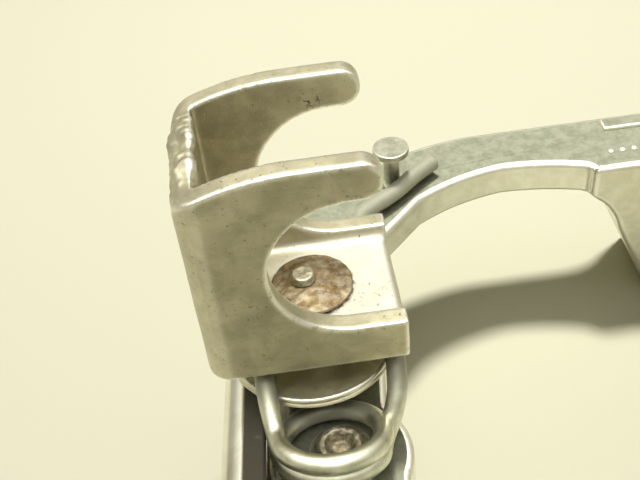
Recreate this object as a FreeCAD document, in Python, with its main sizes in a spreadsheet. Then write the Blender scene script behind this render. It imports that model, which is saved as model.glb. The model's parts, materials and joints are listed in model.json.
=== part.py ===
import FreeCAD, Part
import math
import os
import Sketcher

# Spring clamp: a swivelling two-horned fork on a sprung lever faces a fixed jaw at the end of a cast bow.
# Units are millimetres.  +Z is up.  The origin is on the fork's swivel axis, in the face the tool rests on.
# +X points from the fork to the fixed jaw, and both handles run towards -Y.

doc = FreeCAD.newDocument("SpringClamp")
sizes = doc.addObject("Spreadsheet::Sheet", "Sizes")

DIMENSIONS = [
    # fork: a folded sheet channel with two hooked cheeks
    ("fork_width", 15.0), ("fork_sheet", 2.0), ("fork_back", 9.6), ("fork_front", 8.7),
    ("floor_top", 27.0), ("cheek_drop", 3.4), ("lip_rise", 1.2),
    ("seat_centre", 4.3), ("seat_radius", 7.2), ("horn_depth", 3.6), ("horn_reach", 7.2),
    ("back_height", 16.8), ("crown_start", 0.5), ("fork_corner", 2.2), ("floor_fillet", 0.9),
    ("relief_width", 1.5), ("relief_height", 1.6),
    ("overrun", 5.0),  # how far a cut runs on past the metal
    # fork rivet and what is stacked on it
    ("swivel_radius", 1.95), ("running_gap", 0.05), ("face_gap", 0.1),
    ("rivet_neck", 1.0), ("nub_radius", 1.3), ("nub_height", 0.65),
    ("dish_radius", 3.85), ("dish_edge", 0.35), ("dish_rise", 0.5), ("dish_across", 0.75),
    ("dish_along", -0.26), ("rivet_taper", 0.75),
    ("bush_radius", 3.75), ("disc_radius", 8.4), ("disc_thick", 1.2),
    ("tail_washer_radius", 4.0), ("tail_washer_thick", 0.4), ("tail_radius", 3.0), ("tail_thick", 1.1),
    # lever: a pressed steel channel, open towards the bow
    ("lever_sheet", 1.8), ("lever_tongue_radius", 6.4), ("lever_tongue_half", 5.0),
    ("lever_far", 8.0), ("lever_near", 76.0), ("wall_far", 8.3), ("wall_near", 14.6),
    ("lever_flange", 4.2), ("lever_web", 14.0), ("lever_corner", 2.4), ("web_round", 7.3),
    ("web_end", 4.0), ("web_run", 14.0), ("web_side", 4.5), ("web_tip", 2.0),
    # main pivot
    ("pivot_across", 1.3), ("pivot_along", 10.8), ("pivot_radius", 1.9),
    ("pivot_washer_radius", 5.5), ("pivot_washer_thick", 0.5),
    ("head_washer_radius", 3.0), ("head_washer_thick", 0.5), ("head_radius", 2.6), ("head_height", 1.2),
    ("countersink_radius", 3.1), ("countersink_depth", 1.2),
    ("cup_low", 0.8), ("cup_high", 1.55), ("cup_depth", 0.95),
    # bow: a casting that arches from the pivot round to the fixed jaw
    ("boss_radius", 6.9), ("neck_top", 15.0), ("neck_thick", 4.2), ("neck_half", 4.6),
    ("riser_left", -1.0), ("riser_right", 8.3), ("riser_near", 9.1), ("riser_far", 16.0),
    ("riser_corner", 5.0), ("riser_bevel", 3.5),
    ("arch_top", 20.5), ("arch_thick", 4.2), ("arch_far", 28.1), ("arch_inner", 21.05),
    ("shoulder_across", 14.2), ("shoulder_along", 17.4), ("crown_across", 24.5), ("inner_round", 25.0),
    ("root_along", 19.2), ("root_round", 30.0), ("outer_across", 22.0), ("outer_round", 32.0),
    ("block_left", 34.4), ("block_near", 18.2), ("knee_across", 38.4), ("knee_up", 10.5),
    ("knee_round", 9.0), ("foot_left", 43.2),
    ("post_left", 44.5), ("post_right", 55.0), ("post_near", 9.0), ("post_bottom", 5.0),
    ("post_round", 2.0), ("jaw_face", 46.5), ("jaw_top", 44.0), ("jaw_round", 6.0),
    ("handle_angle", 20.0), ("handle_length", 63.0), ("handle_half", 4.25), ("handle_bottom", 4.0),
    ("handle_end", 6.0),
    # torsion spring
    ("wire_radius", 0.95), ("coil_radius", 4.85), ("coil_left", -5.3), ("coil_back", 0.3), ("coil_gap", 0.1),
    ("coil_tilt", 20.0), ("coil_clearance", 0.19), ("coil_room", 0.4),
    ("leg_clearance", 0.5), ("leg_heading", 39.7), ("leg_overhang", 4.8),
    # spring stud and closed stop
    ("stud_across", 11.55), ("stud_along", 20.5), ("stud_radius", 0.9), ("stud_head_radius", 2.0),
    ("stud_head_thick", 0.8), ("stud_height", 5.5), ("stud_root", 3.0),
    ("stop_radius", 1.2), ("stop_along", 5.0), ("stop_reach", 6.2), ("stop_root", 4.5),
    # fixed jaw facing
    ("plate_thick", 2.2), ("plate_width", 15.0), ("plate_bottom", 22.5), ("plate_height", 20.5),
    ("screw_radius", 1.5), ("screw_head", 2.8), ("screw_depth", 6.0), ("screw_edge", 4.5),
    ("slot_width", 0.7), ("slot_depth", 0.7),
]

for row, (alias, value) in enumerate(DIMENSIONS, start=1):
    sizes.set(f"A{row}", alias)
    sizes.set(f"B{row}", str(value))
    sizes.setAlias(f"B{row}", alias)
doc.recompute()

ALIASES = [alias for alias, _ in DIMENSIONS]

# Sizes that follow from the driving ones.  The coil lies between the bow's neck and the lever's tongue.
DERIVED = {
    "disc_top": "(neck_top + 2 * wire_radius + coil_room + lever_sheet + disc_thick)",
    "coil_pitch": "(2 * wire_radius + coil_gap)",
    "leg_height": "(disc_top + wire_radius + leg_clearance)",
}


def formula(text):
    """Turn a formula written with plain names into one that names the sheet's cells."""
    words = []
    word = ""
    for letter in text + " ":
        if letter.isalnum() or letter == "_":
            word += letter
            continue
        if word in DERIVED:
            word = formula(DERIVED[word])
        elif word in ALIASES:
            word = f"Sizes.{word}"
        words.append(word)
        words.append(letter)
        word = ""
    return "".join(words).strip()


def size(text):
    """Work out a formula's value in millimetres."""
    value = sizes.evalExpression(formula(text))
    return float(getattr(value, "Value", value))


# ---------------------------------------------------------------- sketches and features


def new_body(label):
    body = doc.addObject("PartDesign::Body", label)
    body.Label = label
    return body


def new_sketch(body, name, plane, height="0"):
    """An empty sketch on one of the body's own origin planes, lifted along its normal."""
    sketch = body.newObject("Sketcher::SketchObject", name)
    origin_plane = [item for item in body.Origin.OriginFeatures if item.Role == plane][0]
    sketch.AttachmentSupport = [(origin_plane, "")]
    sketch.MapMode = "FlatFace"
    sketch.setExpression("AttachmentOffset.Base.z", formula(height))
    return sketch


def bind(sketch, constraint, text):
    index = sketch.addConstraint(constraint)
    sketch.setExpression(f"Constraints[{index}]", formula(text))


def add_circle(sketch, across, along, radius):
    centre = FreeCAD.Vector(size(across), size(along), 0)
    circle = sketch.addGeometry(Part.Circle(centre, FreeCAD.Vector(0, 0, 1), size(radius)), False)
    bind(sketch, Sketcher.Constraint("DistanceX", -1, 1, circle, 3, centre.x), across)
    bind(sketch, Sketcher.Constraint("DistanceY", -1, 1, circle, 3, centre.y), along)
    bind(sketch, Sketcher.Constraint("Radius", circle, size(radius)), radius)


def arc_between(start, end, radius, turn):
    """The shorter arc from start to end, turning left (turn 1) or right (turn -1)."""
    chord = end - start
    half = chord.Length / 2
    rise = math.sqrt(max(radius ** 2 - half ** 2, 0.0))
    left = FreeCAD.Vector(-chord.y, chord.x, 0).normalize()
    centre = (start + end) * 0.5 + left * (rise * turn)
    middle = centre - left * (radius * turn)
    return Part.Arc(start, middle, end)


def add_outline(sketch, steps):
    """A closed outline.  Each step is (x, y), or (x, y, radius, turn) where an arc leads to that corner."""
    corners = [FreeCAD.Vector(size(step[0]), size(step[1]), 0) for step in steps]
    count = len(steps)
    starts = []
    ends = []
    for index, step in enumerate(steps):
        start, end = corners[index - 1], corners[index]
        if len(step) == 2:
            piece = sketch.addGeometry(Part.LineSegment(start, end), False)
            starts.append((piece, 1))
            ends.append((piece, 2))
            continue
        arc = arc_between(start, end, size(step[2]), step[3])
        piece = sketch.addGeometry(arc, False)
        from_start = [sketch.getPoint(piece, end_kind).distanceToPoint(start) for end_kind in (1, 2)]
        forward = from_start[0] < from_start[1]
        starts.append((piece, 1 if forward else 2))
        ends.append((piece, 2 if forward else 1))
    for index in range(count):
        following = (index + 1) % count
        sketch.addConstraint(Sketcher.Constraint("Coincident", *ends[index], *starts[following]))
    for index, step in enumerate(steps):
        bind(sketch, Sketcher.Constraint("DistanceX", -1, 1, *ends[index], corners[index].x), step[0])
        bind(sketch, Sketcher.Constraint("DistanceY", -1, 1, *ends[index], corners[index].y), step[1])
        if len(step) == 4:
            bind(sketch, Sketcher.Constraint("Radius", ends[index][0], size(step[2])), step[2])


def add_rectangle(sketch, left, right, low, high):
    add_outline(sketch, [(left, low), (right, low), (right, high), (left, high)])


def pad(body, sketch, name, length, symmetric=False, back=False):
    feature = body.newObject("PartDesign::Pad", name)
    feature.Profile = sketch
    feature.setExpression("Length", formula(length))
    feature.Reversed = back
    if symmetric:
        feature.SideType = "Symmetric"
    sketch.Visibility = False
    return feature


def pocket(body, sketch, name, length, back=False):
    feature = body.newObject("PartDesign::Pocket", name)
    feature.Profile = sketch
    feature.setExpression("Length", formula(length))
    feature.Reversed = back
    return feature


def edges_where(shape, test):
    """Names of the straight edges whose two ends pass a test."""
    names = []
    for index, edge in enumerate(shape.Edges, start=1):
        if len(edge.Vertexes) == 2 and all(test(vertex.Point) for vertex in edge.Vertexes):
            names.append(f"Edge{index}")
    return names


def round_edges(body, base, name, radius, test):
    doc.recompute()
    feature = body.newObject("PartDesign::Fillet", name)
    feature.Base = (base, edges_where(base.Shape, test))
    feature.setExpression("Radius", formula(radius))
    return feature


def place(item, across="0", along="0", height="0"):
    item.setExpression("Placement.Base.x", formula(across))
    item.setExpression("Placement.Base.y", formula(along))
    item.setExpression("Placement.Base.z", formula(height))


def cylinder(name, radius, height, across="0", along="0", low="0"):
    item = doc.addObject("Part::Cylinder", name)
    item.setExpression("Radius", formula(radius))
    item.setExpression("Height", formula(height))
    place(item, across, along, low)
    return item


def cone(name, low_radius, high_radius, height, across="0", along="0", low="0"):
    item = doc.addObject("Part::Cone", name)
    item.setExpression("Radius1", formula(low_radius))
    item.setExpression("Radius2", formula(high_radius))
    item.setExpression("Height", formula(height))
    place(item, across, along, low)
    return item


def fuse(label, items):
    item = doc.addObject("Part::MultiFuse", label)
    item.Shapes = items
    item.Label = label
    return item


def cut(label, base, tool):
    item = doc.addObject("Part::Cut", label)
    item.Base = base
    item.Tool = tool
    item.Label = label
    return item


def ring(label, outer, bore, height, across="0", along="0", low="0"):
    rim = cylinder(label + "_rim", outer, height, across, along, low)
    hole = cylinder(label + "_hole", bore, f"{height} + 2", across, along, f"{low} - 1")
    return cut(label, rim, hole)


PIVOT = ("pivot_across", "-pivot_along")
near = 0.01

# ---------------------------------------------------------------- fork


def make_fork():
    """A folded channel: back plate, floor, and two cheeks notched for a round bar."""
    body = new_body("fork_jaw")
    seat = "(floor_top + lip_rise + seat_radius)"
    horn_top = f"({seat} + seat_radius + horn_depth)"
    profile = new_sketch(body, "cheek_profile", "XZ_Plane")
    add_outline(profile, [
        ("-fork_back", "floor_top - cheek_drop"),
        ("fork_front", "floor_top - cheek_drop"),
        ("fork_front", "floor_top + lip_rise"),
        ("seat_centre", "floor_top + lip_rise"),
        ("seat_centre - seat_radius", seat, "seat_radius", -1),
        ("seat_centre", f"{seat} + seat_radius", "seat_radius", -1),
        ("horn_reach - horn_depth / 2", f"{seat} + seat_radius"),
        ("horn_reach", f"{seat} + seat_radius + horn_depth / 2", "horn_depth / 2", 1),
        ("horn_reach - horn_depth / 2", horn_top, "horn_depth / 2", 1),
        ("crown_start", horn_top),
        ("-fork_back", "floor_top + back_height",
         f"((fork_back + crown_start)^2 + ({horn_top} - floor_top - back_height)^2)"
         f" / (2 * ({horn_top} - floor_top - back_height))", 1),
    ])
    pad(body, profile, "cheek_pad", "fork_width", symmetric=True)
    inner = "fork_width / 2 - fork_sheet"
    above = new_sketch(body, "throat_outline", "XY_Plane", "floor_top")
    add_rectangle(above, "-fork_back + fork_sheet", "fork_front + overrun", f"-({inner})", inner)
    pocket(body, above, "throat", "back_height * 2", back=True)
    below = new_sketch(body, "hollow_outline", "XY_Plane", "floor_top - fork_sheet")
    add_rectangle(below, "-fork_back + fork_sheet", "fork_front + overrun", f"-({inner})", inner)
    pocket(body, below, "hollow", "cheek_drop * 2")
    hole = new_sketch(body, "swivel_hole_outline", "XY_Plane", "floor_top")
    add_circle(hole, "0", "0", "swivel_radius + running_gap")
    pocket(body, hole, "swivel_hole", "fork_sheet * 2")
    relief = new_sketch(body, "relief_outline", "XY_Plane", "floor_top - cheek_drop")
    for side in ("-1", "1"):
        edge = f"{side} * fork_width / 2"
        add_rectangle(relief, "-fork_back - 1", "-fork_back + relief_width", f"{edge} - relief_width",
                      f"{edge} + relief_width")
    last = pocket(body, relief, "relief", "relief_height", back=True)
    back, half = -size("fork_back"), size("fork_width / 2")
    low = size("floor_top - cheek_drop + relief_height")
    last = round_edges(body, last, "back_corners", "fork_corner",
                       lambda p: abs(p.x - back) < near and abs(abs(p.y) - half) < near and p.z > low - near)
    floor_top, side = size("floor_top"), size(inner)
    last = round_edges(body, last, "floor_corners", "floor_fillet",
                       lambda p: abs(p.z - floor_top) < near and abs(abs(p.y) - side) < near)
    return body


# ---------------------------------------------------------------- lever


def wall_x(along, inset="0"):
    """X of the lever wall's outer face at a given Y, moved inwards by inset."""
    slope = "((wall_near - wall_far) / (lever_near + lever_far))"
    return f"-wall_far - {slope} * (lever_far - ({along})) + {inset}"


def make_lever():
    """A pressed channel: a bottom web round the pivot, one tall wall, and a top flange with a tongue."""
    body = new_body("lever_pressing")
    web = new_sketch(body, "web_outline", "XY_Plane")
    add_outline(web, [
        (wall_x("lever_far"), "lever_far"),
        (wall_x("-lever_near"), "-lever_near"),
        (wall_x("-lever_near", "lever_web - web_end"), "-lever_near"),
        (wall_x("-lever_near + web_end", "lever_web"), "-lever_near + web_end", "web_end", 1),
        (wall_x("-pivot_along - web_run", "lever_web"), "-pivot_along - web_run"),
        ("pivot_across + web_round", "-pivot_along"),
        ("web_side", "0"),
        ("web_tip", "lever_far"),
    ])
    pad(body, web, "web", "lever_sheet")
    wall = new_sketch(body, "wall_outline", "XY_Plane")
    add_outline(wall, [
        (wall_x("lever_far"), "lever_far"),
        (wall_x("-lever_near"), "-lever_near"),
        (wall_x("-lever_near", "lever_sheet"), "-lever_near"),
        (wall_x("lever_far", "lever_sheet"), "lever_far"),
    ])
    pad(body, wall, "wall", "disc_top - disc_thick")
    flange = new_sketch(body, "flange_outline", "XY_Plane", "disc_top - disc_thick - lever_sheet")
    add_outline(flange, [
        (wall_x("lever_far"), "lever_far"),
        (wall_x("-lever_near"), "-lever_near"),
        (wall_x("-lever_near", "lever_flange"), "-lever_near"),
        (wall_x("-lever_tongue_half", "lever_flange"), "-lever_tongue_half"),
        ("0", "-lever_tongue_half"),
        ("0", "lever_tongue_half"),
        (wall_x("lever_far", "lever_flange"), "lever_far"),
    ])
    pad(body, flange, "flange", "lever_sheet")
    end = new_sketch(body, "tongue_outline", "XY_Plane", "disc_top - disc_thick - lever_sheet")
    add_circle(end, "0", "0", "lever_tongue_radius")
    pad(body, end, "tongue", "lever_sheet")
    holes = new_sketch(body, "fork_rivet_hole_outline", "XY_Plane", "disc_top")
    add_circle(holes, "0", "0", "swivel_radius")
    pocket(body, holes, "fork_rivet_hole", "disc_thick + lever_sheet * 2")
    bore = new_sketch(body, "pivot_hole_outline", "XY_Plane", "lever_sheet")
    add_circle(bore, *PIVOT, "pivot_radius + running_gap")
    last = pocket(body, bore, "pivot_hole", "lever_sheet * 2")
    top = size("disc_top - disc_thick")
    far_x, near_x = size(wall_x("lever_far")), size(wall_x("-lever_near"))

    def outer_edge(height):
        return lambda p: abs(p.z - height) < near and min(abs(p.x - far_x), abs(p.x - near_x)) < near

    last = round_edges(body, last, "top_bend", "lever_corner", outer_edge(top))
    round_edges(body, last, "bottom_bend", "lever_corner", outer_edge(0))
    seat = cone("lever_countersink", "countersink_radius + running_gap", "pivot_radius + running_gap",
                "countersink_depth", *PIVOT, "0")
    return cut("lever", body, seat)


# ---------------------------------------------------------------- bow


def turned(across, along):
    """A point given along and across the bow's handle, measured from the pivot."""
    x = f"pivot_across + ({along}) * sin(handle_angle) + ({across}) * cos(handle_angle)"
    y = f"-pivot_along - ({along}) * cos(handle_angle) + ({across}) * sin(handle_angle)"
    return x, y


def make_bow():
    """A casting: pivot boss, neck, arched arm, deep end block, fixed jaw and handle."""
    body = new_body("bow_casting")
    boss = new_sketch(body, "boss_outline", "XY_Plane", "lever_sheet + pivot_washer_thick")
    add_circle(boss, *PIVOT, "boss_radius")
    pad(body, boss, "boss", "neck_top - lever_sheet - pivot_washer_thick")
    neck = new_sketch(body, "neck_outline", "XY_Plane", "neck_top - neck_thick")
    add_outline(neck, [
        ("pivot_across - neck_half", "-pivot_along"),
        ("pivot_across + neck_half", "-pivot_along"),
        ("riser_right", "riser_near"),
        ("riser_right", "riser_far - riser_bevel"),
        ("riser_left", "riser_far"),
        ("pivot_across - neck_half", "riser_near"),
    ])
    pad(body, neck, "neck", "neck_thick")
    riser = new_sketch(body, "riser_outline", "XY_Plane", "neck_top - neck_thick")
    add_outline(riser, [
        ("riser_left", "riser_near"),
        ("riser_right", "riser_near"),
        ("riser_right", "riser_far - riser_bevel"),
        ("riser_corner", "riser_far"),
        ("riser_left", "riser_far"),
    ])
    pad(body, riser, "riser", "arch_top - neck_top + neck_thick")
    arch = new_sketch(body, "arch_outline", "XY_Plane", "arch_top - arch_thick")
    add_outline(arch, [
        ("riser_left", "riser_near"),
        ("riser_right - post_round", "riser_near"),
        ("shoulder_across", "shoulder_along"),
        ("crown_across", "arch_inner", "inner_round", -1),
        ("block_left", "root_along", "root_round", -1),
        ("post_right - post_round", "root_along"),
        ("post_right - post_round", "arch_far"),
        ("outer_across", "arch_far"),
        ("riser_left", "riser_far", "outer_round", 1),
    ])
    pad(body, arch, "arch", "arch_thick")
    block = new_sketch(body, "block_outline", "XZ_Plane")
    add_outline(block, [
        ("foot_left", "0"),
        ("post_right", "0"),
        ("post_right", "arch_top"),
        ("block_left", "arch_top"),
        ("block_left", "arch_top - arch_thick"),
        ("knee_across", "knee_up", "knee_round", -1),
    ])
    block.setExpression("AttachmentOffset.Base.z", formula("-arch_far"))
    pad(body, block, "block", "arch_far - block_near")
    post = new_sketch(body, "post_outline", "XY_Plane", "post_bottom")
    add_rectangle(post, "post_left", "post_right", "-post_near", "block_near + post_round")
    pad(body, post, "post", "arch_top - post_bottom")
    jaw = new_sketch(body, "jaw_outline", "XZ_Plane")
    add_outline(jaw, [
        ("jaw_face", "0"),
        ("post_right", "0"),
        ("post_right", "jaw_top - jaw_round"),
        ("post_right - jaw_round", "jaw_top", "jaw_round", 1),
        ("jaw_face", "jaw_top"),
    ])
    pad(body, jaw, "jaw", "plate_width", symmetric=True)
    handle = new_sketch(body, "handle_outline", "XY_Plane", "handle_bottom")
    add_outline(handle, [
        turned("-handle_half", "0"),
        turned("-handle_half", "handle_length - handle_end"),
        turned("handle_half", "handle_length - handle_end"),
        turned("handle_half", "0"),
    ])
    pad(body, handle, "handle", "neck_top - handle_bottom")
    tip = new_sketch(body, "handle_tip_outline", "XY_Plane", "handle_bottom")
    add_circle(tip, *turned("0", "handle_length - handle_end"), "handle_end")
    pad(body, tip, "handle_tip", "neck_top - handle_bottom")
    bore = new_sketch(body, "pivot_bore_outline", "XY_Plane", "neck_top")
    add_circle(bore, *PIVOT, "pivot_radius")
    pocket(body, bore, "pivot_bore", "neck_top")
    stud = new_sketch(body, "stud_hole_outline", "XY_Plane", "arch_top")
    add_circle(stud, "stud_across", "stud_along", "stud_radius")
    last = pocket(body, stud, "stud_hole", "stud_root")
    right, far = size("post_right"), size("arch_far")
    round_edges(body, last, "post_corners", "post_round",
                lambda p: abs(p.x - right) < near and abs(p.y - far) < near)
    stop = stop_round("stop_bore")
    screw_holes = fuse("screw_bores", [screw_shank("bore", height) for height in SCREW_HEIGHTS])
    return cut("bow_arm", body, fuse("bow_bores", [stop, screw_holes]))


# ---------------------------------------------------------------- fixed jaw facing

SCREW_HEIGHTS = ("plate_bottom + screw_edge", "plate_bottom + plate_height - screw_edge")


def along_x(item, left, height, along="0"):
    place(item, left, along, height)
    item.Placement.Rotation = FreeCAD.Rotation(FreeCAD.Vector(0, 1, 0), 90)
    return item


def screw_shank(name, height):
    shank = cylinder(name + "_shank", "screw_radius", "plate_thick + screw_depth")
    return along_x(shank, "jaw_face - plate_thick", height)


def screw_cone(name, height):
    head = cone(name + "_head", "screw_head", "screw_radius", "screw_head - screw_radius")
    return along_x(head, "jaw_face - plate_thick", height)


def make_jaw_plate():
    plate = doc.addObject("Part::Box", "plate_blank")
    plate.setExpression("Length", formula("plate_thick"))
    plate.setExpression("Width", formula("plate_width"))
    plate.setExpression("Height", formula("plate_height"))
    place(plate, "jaw_face - plate_thick", "-plate_width / 2", "plate_bottom")
    tools = []
    for height in SCREW_HEIGHTS:
        tools.append(screw_shank("plate", height))
        tools.append(screw_cone("plate", height))
    return cut("jaw_plate", plate, fuse("plate_bores", tools))


def make_jaw_screws():
    pieces = []
    for height in SCREW_HEIGHTS:
        pair = fuse("screw", [screw_shank("screw", height), screw_cone("screw", height)])
        slot = doc.addObject("Part::Box", "screw_slot")
        slot.setExpression("Length", formula("slot_depth * 2"))
        slot.setExpression("Width", formula("slot_width"))
        slot.setExpression("Height", formula("screw_head * 3"))
        place(slot, "jaw_face - plate_thick - slot_depth", "-slot_width / 2",
              f"{height} - screw_head * 1.5")
        pieces.append(cut("slotted_screw", pair, slot))
    group = doc.addObject("Part::Compound", "jaw_screws")
    group.Links = pieces
    group.Label = "jaw_screws"
    return group


# ---------------------------------------------------------------- rivets, washers, stud and stop


def make_fork_stack():
    """What the fork's rivet holds: dished washer, bush, guard disc and tail washer."""
    washer_low = "floor_top + face_gap"
    off = ("dish_across", "dish_along")
    rim = cylinder("dish_rim", "dish_radius", "dish_edge", *off, washer_low)
    crown = cone("dish_crown", "dish_radius", "nub_radius", "dish_rise", *off, f"{washer_low} + dish_edge")
    hole = cylinder("dish_hole", "rivet_neck", "overrun * 2", low="floor_top - overrun")
    dish = cut("fork_washer", fuse("dish_blank", [rim, crown]), hole)
    bush = ring("fork_bush", "bush_radius", "swivel_radius", "floor_top - fork_sheet - face_gap - disc_top",
                low="disc_top")
    disc = ring("guard_disc", "disc_radius", "swivel_radius", "disc_thick", low="disc_top - disc_thick")
    tongue_low = "disc_top - disc_thick - lever_sheet"
    tail_washer = ring("tail_washer", "tail_washer_radius", "swivel_radius", "tail_washer_thick",
                       low=f"{tongue_low} - tail_washer_thick")
    return [dish, bush, disc, tail_washer]


def make_fork_rivet():
    tail_top = "disc_top - disc_thick - lever_sheet - tail_washer_thick"
    neck_low = "floor_top + face_gap"
    tail = cone("rivet_tail", "tail_radius * rivet_taper", "tail_radius", "tail_thick",
                low=f"{tail_top} - tail_thick")
    shank = cylinder("rivet_shank", "swivel_radius", f"{neck_low} - ({tail_top})", low=tail_top)
    crown_top = f"{neck_low} + dish_edge + dish_rise"
    neck = cylinder("rivet_neck_round", "rivet_neck", "dish_edge + dish_rise", low=neck_low)
    nub = cone("rivet_nub", "nub_radius", "nub_radius * rivet_taper", "nub_height", low=crown_top)
    return fuse("fork_rivet", [tail, shank, neck, nub])


def make_pivot_stack():
    washer = ring("pivot_washer", "pivot_washer_radius", "pivot_radius", "pivot_washer_thick - face_gap",
                  *PIVOT, "lever_sheet + face_gap")
    head_washer = ring("head_washer", "head_washer_radius", "pivot_radius", "head_washer_thick",
                       *PIVOT, "neck_top")
    shank = cylinder("pivot_shank", "pivot_radius", "neck_top + head_washer_thick", *PIVOT, "0")
    head_low = "neck_top + head_washer_thick"
    head = cone("pivot_head", "head_radius", "head_radius * rivet_taper", "head_height", *PIVOT, head_low)
    cup = cone("pivot_cup", "cup_low", "cup_high", "cup_depth", *PIVOT,
               f"{head_low} + head_height - cup_depth")
    foot = cone("pivot_foot", "countersink_radius", "pivot_radius", "countersink_depth", *PIVOT, "0")
    rivet = cut("pivot_rivet", fuse("pivot_blank", [shank, head, foot]), cup)
    return [washer, head_washer, rivet]


def make_stud():
    where = ("stud_across", "stud_along")
    shank = cylinder("stud_shank", "stud_radius", "stud_root + stud_height", *where, "arch_top - stud_root")
    head = cylinder("stud_head", "stud_head_radius", "stud_head_thick", *where,
                    "arch_top + stud_height - stud_head_thick")
    return fuse("spring_stud", [shank, head])


def stop_round(name):
    """The round that lies along X in the neck, both as the pin and as the hole it is pressed into."""
    pin = cylinder(name, "stop_radius", "stop_root + stop_reach")
    return along_x(pin, "-stop_reach", "neck_top - neck_thick / 2", "stop_along")


def make_stop():
    pin = stop_round("stop_round")
    pin.Label = "stop_pin"
    return pin


# ---------------------------------------------------------------- torsion spring


# The straight leg's points: Y, and how far below the leg's height.
LEFT_LEG = [(5.0, 0.0), (1.5, 0.0), (-2.5, 0.0), (-6.6, 0.05)]
# The climbing leg's points: Y, how far inside the disc's rim, and how far below the leg's height.
RIGHT_LEG = [(-8.8, 1.5, 3.0), (-7.0, 1.0, 1.2), (-5.0, 0.9, 0.0), (-2.0, 1.0, 0.0), (3.0, 1.5, 0.0),
             (8.5, 2.2, 0.0), (11.6, 2.3, 0.0)]
# The last points, as distances along the leg from where it touches the stud, in shares of its overhang.
END_LEG = (-1.65, -0.8, 0, 1)
COIL_TURNS = 1.5
COIL_STEP = 30


def spring_path():
    """Straight leg past the bush, one and a half turns, then a leg that climbs to the stud."""
    radius, tilt, pitch = size("coil_radius"), math.radians(size("coil_tilt")), size("coil_pitch")
    centre_x, centre_y = size("coil_left + wire_radius + coil_radius"), size("-pivot_along - coil_back")
    high, rim = size("leg_height"), size("disc_radius")
    start = size("neck_top + wire_radius + coil_clearance") + radius * math.sin(tilt) + 0.75 * pitch
    left_x = -size("bush_radius + wire_radius + face_gap")
    points = [FreeCAD.Vector(left_x, along, high - below) for along, below in LEFT_LEG]
    for index in range(int(360 * COIL_TURNS / COIL_STEP) + 1):
        angle = math.radians(180 + COIL_STEP * index)
        drop = pitch * COIL_STEP * index / 360
        across = centre_x + radius * math.cos(angle)
        along = centre_y + radius * math.cos(tilt) * math.sin(angle)
        height = start - drop - radius * math.sin(tilt) * math.sin(angle)
        points.append(FreeCAD.Vector(across, along, height))
    points += [FreeCAD.Vector(rim - inside, along, high - below) for along, inside, below in RIGHT_LEG]
    heading = math.radians(size("leg_heading"))
    side = FreeCAD.Vector(math.sin(heading), -math.cos(heading), 0)
    forward = FreeCAD.Vector(math.cos(heading), math.sin(heading), 0)
    rest = size("stud_radius + wire_radius + face_gap")
    touch = FreeCAD.Vector(size("stud_across"), size("stud_along"), high + size("face_gap")) + side * rest
    points += [touch + forward * (size("leg_overhang") * share) for share in END_LEG]
    return points


def make_spring():
    points = spring_path()
    travelled = [0.0]
    for before, after in zip(points, points[1:]):
        travelled.append(travelled[-1] + before.distanceToPoint(after))
    curve = Part.BSplineCurve()
    curve.interpolate(Points=points, Parameters=travelled)
    path = Part.Wire([curve.toShape()])
    start = curve.value(curve.FirstParameter)
    heading = curve.tangent(curve.FirstParameter)[0]
    section = Part.Wire([Part.Circle(start, heading, size("wire_radius")).toShape()])
    spring = doc.addObject("Part::Feature", "torsion_spring")
    spring.Shape = path.makePipeShell([section], True, False)
    spring.Label = "torsion_spring"
    return spring


# ---------------------------------------------------------------- build, check and write

nodes = [make_fork(), make_lever(), make_bow(), make_jaw_plate(), make_jaw_screws()]
nodes += make_fork_stack()
nodes += [make_fork_rivet()]
nodes += make_pivot_stack()
nodes += [make_stud(), make_stop(), make_spring()]
doc.recompute()

for item in doc.Objects:
    if "Invalid" in item.State or "Error" in item.State:
        raise RuntimeError(f"{item.Label} failed: {item.State}")

os.makedirs("parts", exist_ok=True)
for node in nodes:
    shape = node.Shape
    if shape.isNull() or not shape.isValid():
        raise RuntimeError(f"{node.Label} has no valid shape")
    shape.exportStep(f"parts/{node.Label}.step")
    box = shape.BoundBox
    print(f"{node.Label}: {len(shape.Solids)} solid(s), {shape.Volume:.1f} mm3, "
          f"{box.XLength:.2f} x {box.YLength:.2f} x {box.ZLength:.2f} mm")
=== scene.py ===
# %% [markdown]
# # A small spring clamp
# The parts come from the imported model, which is the fixed frame: it says where every part is and how big.
# This lesson gives them worn edges and aged metal, and adds the fine things that a casting has. Blender
# works in metres, so the sizes below are written in millimetres and multiplied by MM.

# %% Load the frame
import json
import math

import bmesh
import bpy
from mathutils import Matrix, Vector, noise

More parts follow.
